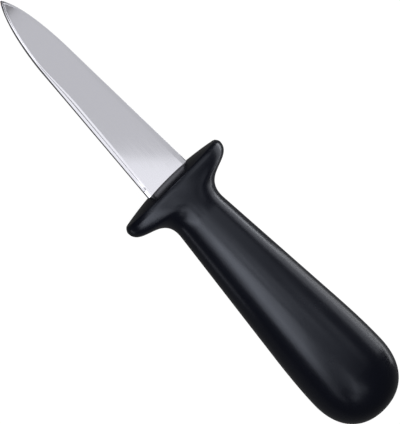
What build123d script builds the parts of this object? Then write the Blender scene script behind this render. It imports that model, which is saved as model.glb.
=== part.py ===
from build123d import *

import os
from math import acos, degrees

# Oyster knife lying flat. X runs along the knife with the point at +X, Y runs across the blade,
# and Z is square to the blade's flats. The origin is under the middle of the knife's length, at
# the height of the surface that the knife lies on. Lengths are in millimetres.

# Blade, measured from the guard's face to the point. Its flats are ground down from the stock
blade_length = 75.0
blade_thickness = 2.4
grinding_depth = 0.05
grinding_setback = 0.2
root_width = 16.8
belly_width = 11.2
point_length = 24.8
point_offset = 0.3
point_half_slope_share = 0.72
belly_pull = 8.1
point_pull = 4.8
point_thickness = 1.7
thin_length = 24.0

# Hollow bevels, ground along both edges on both faces
bevel_width = 1.5
bevel_depth = 0.45
bevel_hollow = 0.06
bevel_setback = 2.2
wheel_radius = 2.6
wheel_lift = 1.8

# Tang, the strip of blade steel that the handle is moulded around
seat_depth = 5.0
tang_width = 9.0
tang_length = 66.0
tang_end_radius = 3.0
seat_radius = 1.5
lock_hole_diameter = 4.2
lock_hole_spacing = 17.0
lock_hole_setback = 9.0
lock_hole_count = 3

# Handle: the guard's crowned face and its rounded rim
handle_length = 100.8
guard_width = 41.5
guard_depth = 16.0
face_width = 39.2
face_crown = 1.9
rim_setback = 3.6
rim_pull_share = 0.33

# Handle: the flare from the rim into the neck
neck_width = 18.45
neck_setback = 16.6
rim_flare_pull = 6.7
neck_flare_pull = 10.5
flare_shares = (0.0, 0.12, 0.24, 0.36, 0.48, 0.6, 0.72, 0.84, 0.93, 1.0)

# Handle: the pear of the grip and its butt
swell_width = 30.0
swell_depth = 24.0
taper_length = 59.6
shoulder_lead = 11.8
shoulder_run = 7.8
butt_pull_share = 0.634

# Spare length that carries cutters and trimming profiles past the steel
overrun = 2.0

axis_height = max(guard_depth, swell_depth) / 2
guard_x = (handle_length - blade_length) / 2
tip_x = guard_x + blade_length
belly_x = tip_x - point_length
seat_x = guard_x - seat_depth
tang_end_x = guard_x - tang_length
rim_x = guard_x - rim_setback
neck_x = guard_x - neck_setback
taper_end_x = neck_x - taper_length
swell_x = taper_end_x - shoulder_run
butt_x = guard_x - handle_length

ground_x = guard_x + grinding_setback
stock_thickness = blade_thickness + 2 * grinding_depth

blade_taper = (root_width - belly_width) / 2 / (blade_length - point_length)
grip_taper = (swell_width - neck_width) / 2 / taper_length
guard_depth_share = guard_depth / guard_width
grip_depth_share = swell_depth / swell_width
neck_depth = neck_width * grip_depth_share

blade_plane = Plane.XY.offset(axis_height)
side_plane = Plane(origin=(0, 0, axis_height), x_dir=(1, 0, 0), z_dir=(0, -1, 0))
os.makedirs("parts", exist_ok=True)


def half_width(x):
    """Half width of the blade's straight taper at x."""
    return root_width / 2 - (x - guard_x) * blade_taper


def point_curve(side):
    """Control points of one edge, from the end of the straight taper to the point."""
    belly_y = half_width(belly_x)
    return [
        (belly_x, side * belly_y),
        (belly_x + belly_pull, side * (belly_y - belly_pull * blade_taper)),
        (tip_x - point_pull, side * point_pull * point_half_slope_share - point_offset),
        (tip_x, -point_offset),
    ]


def bezier(share, start, start_pull, end_pull, end):
    """Value of a cubic Bezier curve at a share of its run."""
    rest = 1 - share
    ends = rest**3 * start + share**3 * end
    pulls = 3 * rest**2 * share * start_pull + 3 * rest * share**2 * end_pull
    return ends + pulls


# Bevel cutter. A grinding wheel's hollow profile comes in past the point, follows each edge, and
# lifts off sideways just before the guard. The lower faces are cut by its mirror image.
with BuildPart() as bevel_cut:
    for side in (1, -1):
        with BuildLine(blade_plane) as wheel_path:
            beyond = (tip_x + overrun, -point_offset - side * overrun * point_half_slope_share)
            Line(beyond, (tip_x, -point_offset))
            Bezier(*reversed(point_curve(side)))
            lift_x = guard_x + bevel_setback
            edge = Line((belly_x, side * half_width(belly_x)), (lift_x, side * half_width(lift_x)))
            lift_angle = degrees(acos(1 - wheel_lift / wheel_radius))
            JernArc(edge @ 1, edge % 1, wheel_radius, -side * lift_angle)
        path = wheel_path.wires()[0]
        with BuildSketch(Plane(origin=path @ 0, x_dir=(0, 0, 1), z_dir=path % 0)):
            with BuildLine():
                face = blade_thickness / 2
                hollow = SagittaArc(
                    (face - bevel_depth, 0),
                    (face, side * bevel_width),
                    side * bevel_hollow,
                )
                Polyline(
                    hollow @ 1,
                    (face + overrun, side * (bevel_width + overrun)),
                    (face + overrun, -side * wheel_radius / 2),
                    (face - bevel_depth, -side * wheel_radius / 2),
                    hollow @ 0,
                )
            make_face()
        sweep(path=path)
    mirror(about=blade_plane)

# Blade: a stamped steel blank with a long taper and a curved point. Its flats are ground as far
# as the guard and thinned towards the point, and the seat and the tang keep the stock's thickness
with BuildPart() as blade:
    with BuildSketch(blade_plane):
        with BuildLine():
            left = Bezier(*point_curve(1))
            right = Bezier(*point_curve(-1))
            Polyline(left @ 0, (seat_x, half_width(seat_x)), (seat_x, -half_width(seat_x)), right @ 0)
        make_face()
    stock_face = stock_thickness / 2
    extrude(amount=stock_face, both=True)
    with BuildSketch(side_plane):
        with BuildLine():
            face = blade_thickness / 2
            thinning = face - point_thickness / 2
            thin_radius = (thin_length**2 + thinning**2) / (2 * thinning)
            thin = RadiusArc((tip_x - thin_length, face), (tip_x, point_thickness / 2), thin_radius)
            stock = Polyline((ground_x, face), (ground_x, stock_face), (seat_x, stock_face))
            Polyline(stock @ 1, (seat_x, 0), (tip_x, 0), thin @ 1)
            Line(thin @ 0, stock @ 0)
        make_face()
        mirror(about=Plane.XZ)
    extrude(amount=root_width, both=True, mode=Mode.INTERSECT)
    add(bevel_cut.part, mode=Mode.SUBTRACT)
    with BuildSketch(blade_plane):
        tang_run = seat_x + overrun - tang_end_x
        with Locations((tang_end_x + tang_run / 2, 0)):
            Rectangle(tang_run, tang_width)
    extrude(amount=stock_face, both=True)
    upright = blade.edges().filter_by(Axis.Z)
    seat_corners = upright.filter_by_position(Axis.X, seat_x, seat_x).sort_by(Axis.Y)
    fillet(seat_corners[1:-1], radius=seat_radius)
    end_corners = blade.edges().filter_by(Axis.Z).group_by(Axis.X)[0]
    fillet(end_corners, radius=tang_end_radius)
    lock_run = lock_hole_spacing * (lock_hole_count - 1)
    lock_centre = tang_end_x + lock_hole_setback + lock_run / 2
    with Locations((lock_centre, 0, axis_height)):
        with GridLocations(lock_hole_spacing, tang_width, lock_hole_count, 1):
            Cylinder(lock_hole_diameter / 2, stock_thickness + overrun, mode=Mode.SUBTRACT)

# Guard nose: the crowned oval face and the rounding up to the rim's widest line
with BuildPart() as nose:
    with BuildSketch(Plane.XY):
        with BuildLine():
            crown_radius = ((face_width / 2) ** 2 + face_crown**2) / (2 * face_crown)
            crown = RadiusArc((guard_x, 0), (guard_x - face_crown, face_width / 2), -crown_radius)
            edge_pull = (guard_width - face_width) / 2 * rim_pull_share
            rim_pull = (rim_setback - face_crown) * rim_pull_share
            rounding = Bezier(
                crown @ 1,
                crown @ 1 + crown % 1 * edge_pull,
                (rim_x + rim_pull, guard_width / 2),
                (rim_x, guard_width / 2),
            )
            Polyline(rounding @ 1, (rim_x, 0), crown @ 0)
        make_face()
    revolve(axis=Axis.X)
    scale(by=(1, 1, guard_depth_share))

# Flare: oval sections that sweep in from the guard's wings to the neck. Seen from the side they
# run almost level, in a long shallow curve that meets the grip's taper
with BuildPart() as flare:
    for share in flare_shares:
        x = bezier(share, rim_x, rim_x - rim_flare_pull, neck_x + neck_flare_pull, neck_x)
        neck_half = neck_width / 2 - neck_flare_pull * grip_taper
        width_half = bezier(share, guard_width / 2, guard_width / 2, neck_half, neck_width / 2)
        flare_run = rim_x - neck_x
        neck_low = (neck_width / 2 - flare_run / 3 * grip_taper) * grip_depth_share
        run_share = (rim_x - x) / flare_run
        depth_half = bezier(run_share, guard_depth / 2, guard_depth / 2, neck_low, neck_depth / 2)
        with BuildSketch(Plane(origin=(x, 0, 0), x_dir=(0, 1, 0), z_dir=(1, 0, 0))):
            Ellipse(width_half, depth_half)
    loft()

# Grip: the straight taper, the swell and the round butt of the pear
with BuildPart() as grip:
    with BuildSketch(Plane.XY):
        with BuildLine():
            shoulder_x = taper_end_x + shoulder_lead
            shoulder_half = swell_width / 2 - shoulder_lead * grip_taper
            taper = Line((neck_x, neck_width / 2), (shoulder_x, shoulder_half))
            shoulder = Bezier(taper @ 1, (taper_end_x, swell_width / 2), (swell_x, swell_width / 2))
            butt_pull = (swell_x - butt_x) * butt_pull_share
            butt = Bezier(
                shoulder @ 1,
                (swell_x - butt_pull, swell_width / 2),
                (butt_x, swell_width / 2 * butt_pull_share),
                (butt_x, 0),
            )
            Polyline(butt @ 1, (neck_x, 0), taper @ 0)
        make_face()
    revolve(axis=Axis.X)
    scale(by=(1, 1, grip_depth_share))

# Handle: one moulding, shaped from the three forms and moulded around the blade and its tang
with BuildPart() as handle:
    with Locations((0, 0, axis_height)):
        add(nose.part)
        add(flare.part)
        add(grip.part)
    add(blade.part, mode=Mode.SUBTRACT)

blade.part.label = "blade"
export_step(blade.part, "parts/blade.step")
handle.part.label = "handle"
export_step(handle.part, "parts/handle.step")
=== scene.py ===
import bpy
import numpy as np
from mathutils import Matrix, Vector


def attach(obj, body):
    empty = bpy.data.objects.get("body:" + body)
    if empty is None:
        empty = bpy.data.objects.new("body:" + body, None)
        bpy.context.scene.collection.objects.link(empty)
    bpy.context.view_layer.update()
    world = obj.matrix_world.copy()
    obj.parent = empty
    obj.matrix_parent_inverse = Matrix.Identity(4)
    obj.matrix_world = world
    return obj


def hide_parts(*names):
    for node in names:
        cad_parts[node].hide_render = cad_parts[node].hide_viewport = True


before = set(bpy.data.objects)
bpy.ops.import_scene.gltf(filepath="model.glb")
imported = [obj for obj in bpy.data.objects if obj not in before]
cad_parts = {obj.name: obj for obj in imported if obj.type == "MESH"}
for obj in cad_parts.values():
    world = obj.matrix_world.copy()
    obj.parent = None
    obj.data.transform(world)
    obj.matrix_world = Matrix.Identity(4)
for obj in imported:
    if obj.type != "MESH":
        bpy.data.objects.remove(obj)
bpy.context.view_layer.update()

# Oyster knife: two computed surfaces replace the CAD's blade and handle, in place and in size.
# Lengths are in millimetres up to the point where they reach a mesh, a lamp or the camera
MM = 0.001

# The knife's axis, the guard's face and the main stations along the knife
AXIS_HEIGHT = 12.0
GUARD_X = 12.9
TIP_X = 87.9

# Blade: its straight taper, its curved point and the flats that thin towards the point
BLADE_LENGTH = 75.0
BLADE_HALF = 1.2
ROOT_WIDTH = 16.8
BELLY_WIDTH = 11.2
POINT_LENGTH = 24.8
POINT_OFFSET = 0.3
POINT_SLOPE = 0.72
BELLY_PULL = 8.1
POINT_PULL = 4.8
POINT_HALF = 0.85
THIN_LENGTH = 24.0
# The blade's shell runs this far into the guard
SEAT_INSIDE = 4.5

# The ground border along each edge: a hollow cut by the wheel, its steep inner wall, and the
# shoulder that buffing has rounded. The right edge is a little thicker, and its wall is nearly
# buffed away
EDGE_HALF = 0.75
HOLLOW_WIDTH = 0.8
HOLLOW_RISE = 0.2
HOLLOW_SAG = 0.02
WALL_WIDTH = 0.14
WALL_RISE = 0.09
SHOULDER_WIDTH = 0.8
RIGHT_EDGE_HALF = 0.83
RIGHT_WALL_RISE = 0.02
# The wheel stops short of the guard, and its cut fades out there
WHEEL_STOP = 2.1
WHEEL_FADE = 0.5
# Towards the point the borders narrow to a share of their width, over a run from one x to another
POINT_SHARE = 0.4
NARROW_FROM = 48.0
NARROW_TO = 68.0
# Where the blade is too narrow for both borders, they fill this share of it
FILL_SHARE = 0.98

# Handle: the guard's crowned face and rim, the flare, the neck, the grip's taper, swell and butt
FACE_WIDTH = 39.2
FACE_CROWN = 1.9
GUARD_WIDTH = 41.5
GUARD_DEPTH = 16.0
RIM_SETBACK = 3.6
RIM_PULL_SHARE = 0.33
NECK_WIDTH = 18.45
NECK_SETBACK = 16.6
RIM_FLARE_PULL = 6.7
NECK_FLARE_PULL = 10.5
SWELL_WIDTH = 30.0
SWELL_DEPTH = 24.0
TAPER_LENGTH = 59.6
SHOULDER_LEAD = 11.8
SHOULDER_RUN = 7.8
BUTT_PULL_SHARE = 0.634
HANDLE_LENGTH = 100.8

BELLY_X = TIP_X - POINT_LENGTH
BLADE_TAPER = (ROOT_WIDTH - BELLY_WIDTH) / 2 / (BLADE_LENGTH - POINT_LENGTH)
RIM_X = GUARD_X - RIM_SETBACK
NECK_X = GUARD_X - NECK_SETBACK
TAPER_END_X = NECK_X - TAPER_LENGTH
SWELL_X = TAPER_END_X - SHOULDER_RUN
BUTT_X = GUARD_X - HANDLE_LENGTH
GRIP_TAPER = (SWELL_WIDTH - NECK_WIDTH) / 2 / TAPER_LENGTH
GUARD_SHARE = GUARD_DEPTH / GUARD_WIDTH
GRIP_SHARE = SWELL_DEPTH / SWELL_WIDTH
WALL_END = HOLLOW_WIDTH + WALL_WIDTH
BORDER_WIDTH = WALL_END + SHOULDER_WIDTH

# How finely the surfaces are cut. Handle: points along each stretch, and round it
CROWN_POINTS = 40
ROUNDING_POINTS = 28
FLARE_POINTS = 90
TAPER_POINTS = 60
SHOULDER_POINTS = 40
BUTT_POINTS = 56
ROUND_POINTS = 192
# The first ring round the crown's pole, as a share of the crown
POLE_RING_SHARE = 0.02
# Blade: points along it, which crowd towards the point by a power of their share
SEAT_POINTS = 4
WHEEL_POINTS = 24
STRAIGHT_POINTS = 60
TIP_POINTS = 90
POINT_CROWDING = 0.8
# Blade: points across it. Rows beside the edge and the hollow's ends keep those corners crisp
HOLLOW_POINTS = 10
WALL_POINTS = 5
BUFFED_POINTS = 12
FLAT_POINTS = 9
EDGE_ROW = 0.03
HOLLOW_FIRST_ROW = 0.08
HOLLOW_LAST_GAP = 0.02
FLAT_FIRST_GAP = 0.1


def bezier(shares, points):
    """A cubic Bezier curve: the four points weighted by (1-s)^3, 3s(1-s)^2, 3s^2(1-s) and s^3."""
    s = np.asarray(shares, float)[:, None]
    weights = ((1 - s) ** 3, 3 * s * (1 - s) ** 2, 3 * s**2 * (1 - s), s**3)
    return sum(w * np.asarray(p, float)[None, :] for w, p in zip(weights, points))


def spread(count):
    """Shares from 0 to 1 that crowd at both ends: half of one minus the cosine of a half turn."""
    return (1 - np.cos(np.linspace(0, np.pi, count))) / 2


def shell(name, rings, first_pole, last_pole):
    """A closed surface through rings of equal count, each ring running the same way round, with
    the first and last ring closed onto one pole point. Rings are an array (rings, points, 3)."""
    count, around = rings.shape[:2]
    verts = np.concatenate([rings.reshape(-1, 3), [first_pole], [last_pole]]) * MM
    i, j = np.meshgrid(np.arange(count - 1), np.arange(around), indexing="ij")
    a, b = i * around + j, i * around + (j + 1) % around
    quads = np.stack([a, b, b + around, a + around], axis=-1).reshape(-1, 4)
    ring = np.arange(around)
    front = np.stack([np.full(around, count * around), (ring + 1) % around, ring], axis=-1)
    back_ring = (count - 1) * around + ring
    back_next = (count - 1) * around + (ring + 1) % around
    back = np.stack([np.full(around, count * around + 1), back_ring, back_next], axis=-1)
    mesh = bpy.data.meshes.new(name)
    mesh.from_pydata(verts.tolist(), [], quads.tolist() + front.tolist() + back.tolist())
    mesh.update()
    mesh.shade_smooth()
    piece = bpy.data.objects.new(name, mesh)
    bpy.context.scene.collection.objects.link(piece)
    return piece


def handle_profile():
    """Stations along the handle as (x, half width, half depth), front to butt: a circular crown,
    Bezier rounding to the rim, Bezier flare to the neck, straight taper, quadratic shoulder,
    Bezier butt. The depth is a share of the width on the guard and on the grip, and between them
    a cubic Bezier of its own over the flare's run."""
    half_face = FACE_WIDTH / 2
    crown_radius = (half_face**2 + FACE_CROWN**2) / (2 * FACE_CROWN)
    end_angle = np.arcsin(half_face / crown_radius)
    turn = end_angle * np.linspace(POLE_RING_SHARE, 1, CROWN_POINTS)
    crown = np.stack([GUARD_X - crown_radius * (1 - np.cos(turn)), crown_radius * np.sin(turn)], 1)
    corner = crown[-1]
    along = np.array([-np.sin(end_angle), np.cos(end_angle)])
    edge_pull = (GUARD_WIDTH - FACE_WIDTH) / 2 * RIM_PULL_SHARE
    rim_pull = (RIM_SETBACK - FACE_CROWN) * RIM_PULL_SHARE
    rim = np.array([RIM_X, GUARD_WIDTH / 2])
    rounding = bezier(
        np.linspace(0, 1, ROUNDING_POINTS)[1:],
        [corner, corner + along * edge_pull, rim + [rim_pull, 0], rim],
    )
    front = np.concatenate([crown, rounding])
    front = np.column_stack([front, front[:, 1] * GUARD_SHARE])

    neck_half = NECK_WIDTH / 2
    waist_half = neck_half - NECK_FLARE_PULL * GRIP_TAPER
    flare = bezier(
        np.linspace(0, 1, FLARE_POINTS)[1:],
        [
            (RIM_X, GUARD_WIDTH / 2),
            (RIM_X - RIM_FLARE_PULL, GUARD_WIDTH / 2),
            (NECK_X + NECK_FLARE_PULL, waist_half),
            (NECK_X, neck_half),
        ],
    )
    flare_run = RIM_X - NECK_X
    neck_low = (neck_half - flare_run / 3 * GRIP_TAPER) * GRIP_SHARE
    guard_low = GUARD_DEPTH / 2
    run_share = (RIM_X - flare[:, 0]) / flare_run
    depth = bezier(run_share, [(guard_low,), (guard_low,), (neck_low,), (neck_half * GRIP_SHARE,)])
    flare = np.column_stack([flare, depth])

    shoulder_start = TAPER_END_X + SHOULDER_LEAD
    taper_x = np.linspace(NECK_X, shoulder_start, TAPER_POINTS)[1:]
    taper = np.stack([taper_x, neck_half + (NECK_X - taper_x) * GRIP_TAPER], 1)
    swell_half = SWELL_WIDTH / 2
    lead = np.array([shoulder_start, swell_half - SHOULDER_LEAD * GRIP_TAPER])
    knee = np.array([TAPER_END_X, swell_half])
    crest = np.array([SWELL_X, swell_half])
    s = np.linspace(0, 1, SHOULDER_POINTS)[1:, None]
    shoulder = (1 - s) ** 2 * lead + 2 * s * (1 - s) * knee + s**2 * crest
    butt_pull = (SWELL_X - BUTT_X) * BUTT_PULL_SHARE
    butt = bezier(
        spread(BUTT_POINTS)[1:-1],
        [
            crest,
            (SWELL_X - butt_pull, swell_half),
            (BUTT_X, swell_half * BUTT_PULL_SHARE),
            (BUTT_X, 0),
        ],
    )
    grip = np.concatenate([taper, shoulder, butt])
    grip = np.column_stack([grip, grip[:, 1] * GRIP_SHARE])
    return np.concatenate([front, flare, grip])


def handle_shell(name):
    """Ovals round the knife's axis: y = half width times cosine, z = half depth times sine. Each
    ring is turned round at the end, so that the faces look outwards."""
    stations = handle_profile()
    turn = np.linspace(0, 2 * np.pi, ROUND_POINTS, endpoint=False)
    x = np.repeat(stations[:, :1], turn.size, axis=1)
    y = stations[:, 1:2] * np.cos(turn)
    z = AXIS_HEIGHT + stations[:, 2:3] * np.sin(turn)
    rings = np.stack([x, y, z], axis=-1)[:, ::-1]
    return shell(name, rings, (GUARD_X, 0, AXIS_HEIGHT), (BUTT_X, 0, AXIS_HEIGHT))


def border_height(way_in, flat, ground, scale, edge_half, wall_rise):
    """Height of one border over the blade's middle plane at a way in from the edge: the chord of
    the hollow less a parabola of its sag, then the wall as a straight rise, then the shoulder as a
    parabola that ends level. Where the wheel has not cut, ground is 0 and one parabola rises from
    the edge to the flat. The whole border shrinks by scale, both in width and in its drop below
    the flat."""
    way_in = way_in / scale
    border_share = np.clip(way_in / BORDER_WIDTH, 0, 1)
    hollow_share = np.clip(way_in / HOLLOW_WIDTH, 0, 1)
    wall_share = np.clip((way_in - HOLLOW_WIDTH) / WALL_WIDTH, 0, 1)
    shoulder_share = np.clip((way_in - WALL_END) / SHOULDER_WIDTH, 0, 1)
    hollow = HOLLOW_RISE * hollow_share - 4 * HOLLOW_SAG * hollow_share * (1 - hollow_share)
    top = edge_half + HOLLOW_RISE + wall_rise
    shoulder = (BLADE_HALF - top) * (1 - (1 - shoulder_share) ** 2)
    cut = edge_half + hollow + wall_rise * wall_share + shoulder
    uncut = edge_half + (BLADE_HALF - edge_half) * (1 - (1 - border_share) ** 2)
    return flat - scale * (BLADE_HALF - cut * ground - uncut * (1 - ground))


def blade_shell(name):
    """Sections across the blade: the ground borders along both edges and the flat between them,
    whose half thickness falls towards the point by a parabola. The edges are straight lines, then
    Bezier curves. The borders narrow towards the point by a smooth step, 3 r^2 - 2 r^3 of the
    run r. The lower face mirrors the upper one."""
    wheel_end = GUARD_X + WHEEL_STOP + WHEEL_FADE
    straight = np.concatenate(
        [
            np.linspace(GUARD_X - SEAT_INSIDE, GUARD_X, SEAT_POINTS)[:-1],
            np.linspace(GUARD_X, wheel_end, WHEEL_POINTS)[:-1],
            np.linspace(wheel_end, BELLY_X, STRAIGHT_POINTS)[:-1],
        ]
    )
    half = ROOT_WIDTH / 2 - (straight - GUARD_X) * BLADE_TAPER
    belly_y = BELLY_WIDTH / 2
    shares = np.linspace(0, 1, TIP_POINTS) ** POINT_CROWDING
    edges = []
    for side in (1, -1):
        curve = bezier(
            shares[:-1],
            [
                (BELLY_X, side * belly_y),
                (BELLY_X + BELLY_PULL, side * (belly_y - BELLY_PULL * BLADE_TAPER)),
                (TIP_X - POINT_PULL, side * POINT_PULL * POINT_SLOPE - POINT_OFFSET),
                (TIP_X, -POINT_OFFSET),
            ],
        )
        edges.append(np.concatenate([np.stack([straight, side * half], 1), curve]))
    x = edges[0][:, 0]
    left, right = edges[0][:, 1], edges[1][:, 1]
    lean_left = np.cos(np.arctan(np.gradient(left, x)))
    lean_right = np.cos(np.arctan(np.gradient(right, x)))

    thin_share = np.clip((x - (TIP_X - THIN_LENGTH)) / THIN_LENGTH, 0, 1)
    flat = BLADE_HALF - (BLADE_HALF - POINT_HALF) * thin_share**2
    ground = np.clip((x - GUARD_X - WHEEL_STOP) / WHEEL_FADE, 0, 1)[:, None]

    ways = np.concatenate(
        [
            [0, EDGE_ROW],
            np.linspace(HOLLOW_FIRST_ROW, HOLLOW_WIDTH - HOLLOW_LAST_GAP, HOLLOW_POINTS),
            np.linspace(HOLLOW_WIDTH, WALL_END, WALL_POINTS),
            WALL_END + SHOULDER_WIDTH * np.linspace(0, 1, BUFFED_POINTS)[1:],
            [BORDER_WIDTH + FLAT_FIRST_GAP],
        ]
    )
    run = np.clip((x - NARROW_FROM) / (NARROW_TO - NARROW_FROM), 0, 1)
    scale = 1 - (1 - POINT_SHARE) * run**2 * (3 - 2 * run)
    middle = (left + right) / 2
    fit_left = np.minimum(scale, FILL_SHARE * (left - middle) * lean_left / ways[-1])
    fit_right = np.minimum(scale, FILL_SHARE * (middle - right) * lean_right / ways[-1])
    way_left = ways[None, :] * fit_left[:, None]
    way_right = ways[None, :] * fit_right[:, None]
    y_left = left[:, None] - way_left / lean_left[:, None]
    y_right = right[:, None] + way_right / lean_right[:, None]
    level, scale = flat[:, None], scale[:, None]
    z_left = border_height(way_left, level, ground, scale, EDGE_HALF, WALL_RISE)
    z_right = border_height(way_right, level, ground, scale, RIGHT_EDGE_HALF, RIGHT_WALL_RISE)
    inner_share = np.linspace(0, 1, FLAT_POINTS)[None, 1:-1]
    y_inner = y_left[:, -1:] * (1 - inner_share) + y_right[:, -1:] * inner_share
    z_inner = z_left[:, -1:] * (1 - inner_share) + z_right[:, -1:] * inner_share
    y_top = np.concatenate([y_left, y_inner, y_right[:, ::-1]], axis=1)
    z_top = np.concatenate([z_left, z_inner, z_right[:, ::-1]], axis=1)
    y = np.concatenate([y_top, y_top[:, ::-1]], axis=1)
    z = np.concatenate([z_top, -z_top[:, ::-1]], axis=1) + AXIS_HEIGHT
    rings = np.stack([np.repeat(x[:, None], y.shape[1], axis=1), y, z], axis=-1)
    return shell(
        name,
        rings[::-1],
        (TIP_X, -POINT_OFFSET, AXIS_HEIGHT),
        (GUARD_X - SEAT_INSIDE, 0, AXIS_HEIGHT),
    )


# Sockets of the node that mixes two colours
MIX_A = 6
MIX_B = 7
MIX_RESULT = 2


def linear(code):
    """Linear RGBA of an sRGB hex code: the standard curve, 2.4 power above its straight foot."""
    values = [int(code[i : i + 2], 16) / 255 for i in (1, 3, 5)]
    return [v / 12.92 if v <= 0.04045 else ((v + 0.055) / 1.055) ** 2.4 for v in values] + [1]


def add_node(tree, kind, settings=None, inputs=None, links=None):
    """Adds one node, sets its properties and its sockets' values, and links other sockets in."""
    made = tree.nodes.new(kind)
    for key, value in (settings or {}).items():
        setattr(made, key, value)
    for key, value in (inputs or {}).items():
        made.inputs[key].default_value = value
    for key, socket in (links or {}).items():
        tree.links.new(socket, made.inputs[key])
    return made


def new_material(name):
    """An empty node material and its node tree."""
    material = bpy.data.materials.new(name)
    material.use_nodes = True
    material.node_tree.nodes.clear()
    return material, material.node_tree


def polished_stainless(name):
    """Stainless knife steel, ground along its length and buffed: a clear mirror-like grey with a
    faint lengthwise grain, and slightly uneven gloss where the buffing wheel passed."""
    material, tree = new_material(name)
    place = add_node(tree, "ShaderNodeTexCoord").outputs["Object"]
    # The grain runs along X: lines of 0.25 mm across the blade, tens of millimetres long
    grain_space = add_node(
        tree, "ShaderNodeMapping", inputs={"Scale": (30, 4000, 1000)}, links={"Vector": place}
    ).outputs["Vector"]
    grain = add_node(
        tree,
        "ShaderNodeTexNoise",
        inputs={"Scale": 1.0, "Detail": 4.0, "Roughness": 0.6},
        links={"Vector": grain_space},
    ).outputs["Fac"]
    cloud = add_node(
        tree,
        "ShaderNodeTexNoise",
        inputs={"Scale": 120.0, "Detail": 2.0},
        links={"Vector": place},
    ).outputs["Fac"]
    # The grain and half the cloud together run from about 0.5 to 1
    grain_and_cloud = add_node(
        tree,
        "ShaderNodeMath",
        settings={"operation": "MULTIPLY_ADD"},
        inputs={1: 0.5},
        links={0: cloud, 2: grain},
    ).outputs[0]
    gloss = add_node(
        tree,
        "ShaderNodeMapRange",
        inputs={"From Min": 0.5, "From Max": 1.0, "To Min": 0.06, "To Max": 0.11},
        links={"Value": grain_and_cloud},
    ).outputs[0]
    tint = add_node(
        tree,
        "ShaderNodeMix",
        settings={"data_type": "RGBA"},
        inputs={MIX_A: linear("#B6B6BD"), MIX_B: linear("#BCBCC2")},
        links={0: grain},
    ).outputs[MIX_RESULT]
    bump = add_node(
        tree,
        "ShaderNodeBump",
        inputs={"Strength": 0.02, "Distance": 0.00002},
        links={"Height": grain},
    ).outputs["Normal"]
    shader = add_node(
        tree,
        "ShaderNodeBsdfPrincipled",
        inputs={"Metallic": 1.0},
        links={"Base Color": tint, "Roughness": gloss, "Normal": bump},
    )
    add_node(tree, "ShaderNodeOutputMaterial", links={"Surface": shader.outputs[0]})
    return material


def satin_black_plastic(name):
    """Black polyamide or polypropylene, injection moulded in a finely eroded mould: near-black
    with a cold cast, a satin gloss and a skin grain of about 0.25 mm."""
    material, tree = new_material(name)
    place = add_node(tree, "ShaderNodeTexCoord").outputs["Object"]
    skin = add_node(
        tree,
        "ShaderNodeTexNoise",
        inputs={"Scale": 4000.0, "Detail": 3.0, "Roughness": 0.6},
        links={"Vector": place},
    ).outputs["Fac"]
    cloud = add_node(
        tree,
        "ShaderNodeTexNoise",
        inputs={"Scale": 90.0, "Detail": 2.0},
        links={"Vector": place},
    ).outputs["Fac"]
    gloss = add_node(
        tree,
        "ShaderNodeMapRange",
        inputs={"From Min": 0.3, "From Max": 0.7, "To Min": 0.23, "To Max": 0.28},
        links={"Value": cloud},
    ).outputs[0]
    tint = add_node(
        tree,
        "ShaderNodeMix",
        settings={"data_type": "RGBA"},
        inputs={MIX_A: linear("#080A14"), MIX_B: linear("#0A0C17")},
        links={0: cloud},
    ).outputs[MIX_RESULT]
    bump = add_node(
        tree,
        "ShaderNodeBump",
        inputs={"Strength": 0.18, "Distance": 0.00002},
        links={"Height": skin},
    ).outputs["Normal"]
    shader = add_node(
        tree,
        "ShaderNodeBsdfPrincipled",
        inputs={"IOR": 1.47, "Specular Tint": linear("#E8EFFF")},
        links={"Base Color": tint, "Roughness": gloss, "Normal": bump},
    )
    add_node(tree, "ShaderNodeOutputMaterial", links={"Surface": shader.outputs[0]})
    return material


# The share of the paper's glow that gloss and clear things see
MIRRORED_GLOW = 0.06


def studio_paper(name):
    """Backdrop paper: matt, lit by the lamps, and topped up to plain white by a glow that the
    camera sees. Gloss and clear things see a small share of the glow, and the matt part keeps
    the knife's shadow."""
    material, tree = new_material(name)
    path = add_node(tree, "ShaderNodeLightPath").outputs
    mirrored = add_node(
        tree,
        "ShaderNodeMath",
        settings={"operation": "MAXIMUM"},
        links={0: path["Is Glossy Ray"], 1: path["Is Transmission Ray"]},
    ).outputs[0]
    seen = add_node(
        tree,
        "ShaderNodeMath",
        settings={"operation": "MULTIPLY_ADD"},
        inputs={1: MIRRORED_GLOW},
        links={0: mirrored, 2: path["Is Camera Ray"]},
    ).outputs[0]
    paper = add_node(
        tree, "ShaderNodeBsdfDiffuse", inputs={"Color": linear("#606060"), "Roughness": 0.0}
    )
    glow = add_node(tree, "ShaderNodeEmission", inputs={"Color": linear("#FCFCFC")})
    tree.links.new(seen, glow.inputs["Strength"])
    both = add_node(
        tree, "ShaderNodeAddShader", links={0: paper.outputs[0], 1: glow.outputs[0]}
    )
    add_node(tree, "ShaderNodeOutputMaterial", links={"Surface": both.outputs[0]})
    return material


steel = polished_stainless("buffed_stainless_steel")
plastic = satin_black_plastic("moulded_black_plastic")

handle = handle_shell("handle_moulding")
handle.data.materials.append(plastic)
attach(handle, "root")
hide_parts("handle")

blade = blade_shell("blade_steel_body")
blade.data.materials.append(steel)
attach(blade, "root")
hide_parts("blade")

# Camera: it looks down on the knife's flat from 0.8 m, standing off towards the point by one angle
# and towards the blade's left edge by another
LEAN = np.radians(8.6)
ROLL = np.radians(14.0)
CAMERA_WAY = 800.0
PIXELS_PER_MM = 3.224
PICTURE_WIDTH = 400
SENSOR_WIDTH = 36.0
NEAREST_M = 0.05
FARTHEST_M = 20
# The guard's face from the picture's middle, in millimetres towards the butt and to the right side
AIM = np.array([-14.662, -0.5513])
# The way from point to butt in the picture, rightwards and downwards, and a small turn to trim it
ALONG_IN_PICTURE = np.array([0.68675, 0.72690])
TWIST = np.radians(-0.1641)

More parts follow.
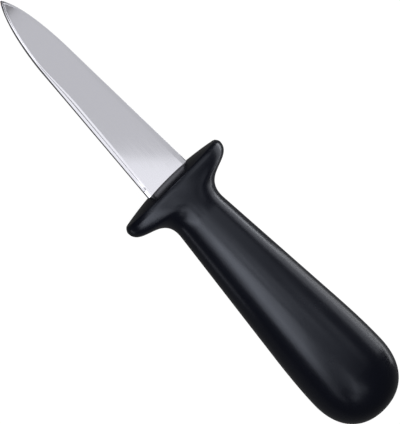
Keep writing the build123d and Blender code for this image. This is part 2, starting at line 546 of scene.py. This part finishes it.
look_back = np.array([np.sin(LEAN), np.cos(LEAN) * np.sin(ROLL), np.cos(LEAN) * np.cos(ROLL)])
butt_way = np.array([-np.cos(LEAN), np.sin(LEAN) * np.sin(ROLL), np.sin(LEAN) * np.cos(ROLL)])
side_way = np.array([0, -np.cos(ROLL), np.sin(ROLL)])
eye = look_back * CAMERA_WAY - butt_way * AIM[0] - side_way * AIM[1]
eye = eye + np.array([GUARD_X, 0, AXIS_HEIGHT])
turned_butt = butt_way * np.cos(TWIST) - side_way * np.sin(TWIST)
turned_side = butt_way * np.sin(TWIST) + side_way * np.cos(TWIST)
right_way = ALONG_IN_PICTURE[0] * turned_butt + ALONG_IN_PICTURE[1] * turned_side
up_way = -ALONG_IN_PICTURE[1] * turned_butt + ALONG_IN_PICTURE[0] * turned_side
camera_data = bpy.data.cameras.new("camera")
camera = bpy.data.objects.new("camera", camera_data)
bpy.context.scene.collection.objects.link(camera)
camera_data.sensor_fit = "HORIZONTAL"
camera_data.sensor_width = SENSOR_WIDTH
camera_data.lens = SENSOR_WIDTH * PIXELS_PER_MM * CAMERA_WAY / PICTURE_WIDTH
camera_data.clip_start = NEAREST_M
camera_data.clip_end = FARTHEST_M
aimed = Matrix([list(right_way), list(up_way), list(look_back)]).transposed().to_4x4()
camera.matrix_world = Matrix.Translation(Vector(eye * MM)) @ aimed
bpy.context.scene.camera = camera

# Floor: a broad sheet of paper under the knife, given by half its side
SHEET_HALF = 3000.0
floor_mesh = bpy.data.meshes.new("floor")
corners = np.array([(-1, -1, 0), (1, -1, 0), (1, 1, 0), (-1, 1, 0)]) * SHEET_HALF
floor_mesh.from_pydata((corners * MM).tolist(), [], [(0, 1, 2, 3)])
floor = bpy.data.objects.new("floor", floor_mesh)
bpy.context.scene.collection.objects.link(floor)
floor_mesh.materials.append(studio_paper("backdrop_paper"))


def soft_lamp(name, centre, target, size, across, brightness):
    """A rectangular lamp at centre facing target, the first side of its size along across, of a
    given brightness: its power is that times area times pi, for a face that shines evenly."""
    data = bpy.data.lights.new(name, "AREA")
    data.shape = "RECTANGLE"
    data.size, data.size_y = size[0] * MM, size[1] * MM
    data.energy = brightness * np.pi * data.size * data.size_y
    back = Vector(centre) - Vector(target)
    back.normalize()
    side = Vector(across).normalized()
    side = (side - back * side.dot(back)).normalized()
    up = back.cross(side)
    lamp = bpy.data.objects.new(name, data)
    lamp.matrix_world = Matrix.Translation(Vector(centre) * MM) @ (
        Matrix([side, up, back]).transposed().to_4x4()
    )
    lamp.visible_camera = False
    bpy.context.scene.collection.objects.link(lamp)


# The lamps hang level over the knife at about two heights, like the panels and strips round a
# product shot, and others stand low beside it. The camera sees the blade's flat mirror the even
# blade panel, its borders mirror the panels to both sides, and the handle mirror the strips on the
# left. Lamps that overlap hang one or more gaps apart, so that a mirrored ray meets them all
HIGH = 312.0
LOW = 140.0
GAP = 2.0


def hanging_lamp(name, centre, height, size, turn, brightness):
    """A soft lamp that faces straight down, its first side turned by an angle from the X axis."""
    lean = np.radians(turn)
    place = (centre[0], centre[1], height)
    ground = (centre[0], centre[1], 0)
    soft_lamp(name, place, ground, size, (np.cos(lean), np.sin(lean), 0), brightness)


def standing_lamp(name, place, target, size, brightness):
    """A soft lamp that stands beside the knife, its first side along the X axis."""
    soft_lamp(name, place, target, size, (1, 0, 0), brightness)


# Over the blade: its flat, its root, both borders and the point
hanging_lamp("blade_panel", (5, -75), HIGH, (160, 60), 0, 0.93)
hanging_lamp("root_panel", (-35, -69), HIGH - 3 * GAP, (66, 34), 45, 0.62)
hanging_lamp("right_border_panel", (62, -175), HIGH, (195, 140), 0, 0.92)
hanging_lamp("right_outer_panel", (70, -345), HIGH, (230, 200), 0, 0.88)
hanging_lamp("left_border_panel", (47, 65), HIGH, (165, 210), 0, 1.65)
hanging_lamp("point_border_strip", (100, 42), LOW, (79, 20), -24, 1.64)
# Over the guard and the neck
hanging_lamp("guard_face_panel", (135, -75), HIGH, (90, 70), 0, 0.20)
hanging_lamp("guard_face_panel_low", (125, -38), LOW, (70, 40), 0, 1.99)
hanging_lamp("neck_strip_front", (-10, 88), LOW - 2 * GAP, (32, 84), 0, 1.65)
hanging_lamp("neck_strip", (-48, 92), LOW, (49, 133), 16, 2.25)
hanging_lamp("neck_panel", (-32, 1), LOW, (40, 21), 5, 1.14)
hanging_lamp("flank_panel", (-95, -60), HIGH + 4 * GAP, (60, 200), 0, 0.45)
# Over the grip, the swell and the butt
hanging_lamp("grip_strip_middle", (-54, 213), HIGH - 4 * GAP, (46, 171), 50, 1.75)
hanging_lamp("grip_strip_near", (10, 240), HIGH - 6 * GAP, (60, 60), 0, 1.00)
hanging_lamp("grip_strip_far", (-156, 384), HIGH, (67, 364), 82, 0.73)
hanging_lamp("grip_strip_back", (-142, 392), HIGH + 4 * GAP, (81, 248), 57, 0.37)
hanging_lamp("grip_panel", (-137, 109), HIGH, (102, 118), -3, 0.42)
hanging_lamp("swell_strip", (-186, 69), HIGH - 2 * GAP, (138, 30), -31, 1.65)
hanging_lamp("back_panel", (-242, 60), HIGH, (106, 150), 0, 0.60)
hanging_lamp("back_panel_left", (-300, 185), HIGH, (90, 90), 0, 1.1)
hanging_lamp("right_flank_panel", (-70, -90), LOW, (50, 46), 0, 0.7)
# Low beside the right and the left edge
standing_lamp("right_strip_front", (0, -110, 8), (0, 0, 8), (70, 14), 6.5)
standing_lamp("right_panel_front", (0, -110, 35), (0, 0, 12), (70, 40), 1.70)
standing_lamp("right_strip_back", (-65, -110, 8), (-65, 0, 8), (70, 14), 3.2)
standing_lamp("right_panel_back", (-65, -110, 35), (-65, 0, 12), (70, 40), 1.20)
standing_lamp("right_edge_back", (-65, -50, 5), (-65, 0, 5), (70, 8), 2.2)
standing_lamp("left_strip_front", (0, 110, 8), (0, 0, 8), (70, 14), 1.05)

# World: a dim, even white round the knife
WORLD_STRENGTH = 0.075
scene = bpy.context.scene
world = bpy.data.worlds.new("studio")
scene.world = world
world.use_nodes = True
background = world.node_tree.nodes["Background"]
background.inputs["Color"].default_value = (1, 1, 1, 1)
background.inputs["Strength"].default_value = WORLD_STRENGTH
scene.view_settings.view_transform = "Standard"
